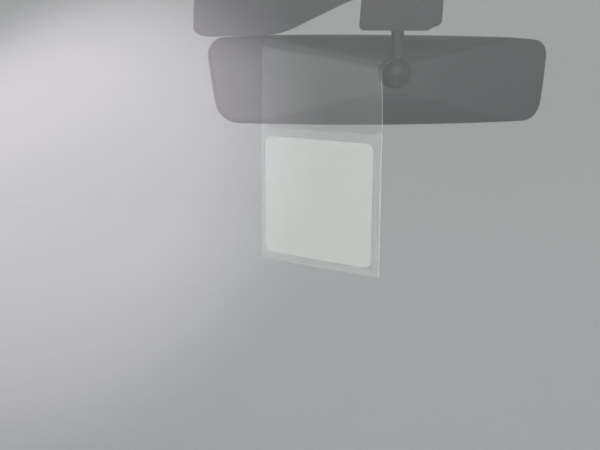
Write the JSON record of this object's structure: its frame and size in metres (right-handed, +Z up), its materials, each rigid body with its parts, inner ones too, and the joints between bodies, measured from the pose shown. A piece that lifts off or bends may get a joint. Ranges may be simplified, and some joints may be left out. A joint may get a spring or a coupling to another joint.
{
  "type": "windscreen",
  "caption": "Raked car windscreen of laminated glass with a dark enamel border, edge seals, an interior mirror on a swivelling stem, a rain sensor and a hanging clear card sleeve.",
  "frame": {"origin": "on the body's flange under the middle of the lower run of adhesive", "axes": "+X across the car, +Y back into the cabin, +Z up, with the screen at its rake in the car"},
  "size_m": [1.3932, 0.7434, 0.5038],
  "materials": {
    "glass": "clear float glass with a faint green tint",
    "interlayer": "clear vinyl film between the glass plies",
    "enamel": "black enamel fired onto the inner face",
    "rubber": "satin black extruded rubber",
    "adhesive": "black cured polyurethane adhesive",
    "pin_plastic": "black moulded nylon",
    "sintered_steel": "sintered steel",
    "die_casting": "black painted zinc casting",
    "grained_plastic": "fine grained dark grey plastic",
    "sensor_plastic": "smooth black plastic",
    "clear_film": "clear vinyl film, slightly milky",
    "card": "plain white card, blank",
    "bezel_plastic": "smooth dark plastic",
    "mirror": "silvered glass"
  },
  "bodies": {
    "screen": {"glass_outer_ply": "glass", "glass_interlayer": "interlayer", "glass_inner_ply": "glass", "enamel_border": "enamel", "upper_moulding": "rubber", "left_moulding": "rubber", "right_moulding": "rubber", "cowl_seal": "rubber", "lower_adhesive": "adhesive", "upper_adhesive": "adhesive", "left_adhesive": "adhesive", "right_adhesive": "adhesive", "left_locating_pin": "pin_plastic", "right_locating_pin": "pin_plastic", "left_spacer": "rubber", "right_spacer": "rubber", "mirror_button": "sintered_steel", "mirror_foot": "die_casting", "mirror_shroud": "grained_plastic", "sensor_bracket": "pin_plastic", "rain_sensor": "sensor_plastic", "sensor_cover": "grained_plastic", "sleeve_back_film": "clear_film", "sleeve_front_film": "clear_film", "card": "card"},
    "mirror_arm": {"mirror_stem": "die_casting"},
    "mirror_head": {"mirror_socket": "pin_plastic", "mirror_shell": "grained_plastic", "mirror_bezel": "bezel_plastic", "mirror_pane": "mirror"}
  },
  "joints": [
    {"name": "arm_tilt", "type": "hinge", "parent": "screen", "child": "mirror_arm", "pos_m": [0, 0.60493, 0.37284], "axis": [1, 0, 0], "range_deg": [-12, 12]},
    {"name": "head_swivel", "type": "hinge", "parent": "mirror_arm", "child": "mirror_head", "pos_m": [0, 0.60493, 0.33414], "axis": [0, 0, 1], "range_deg": [-48, 6]}
  ]
}
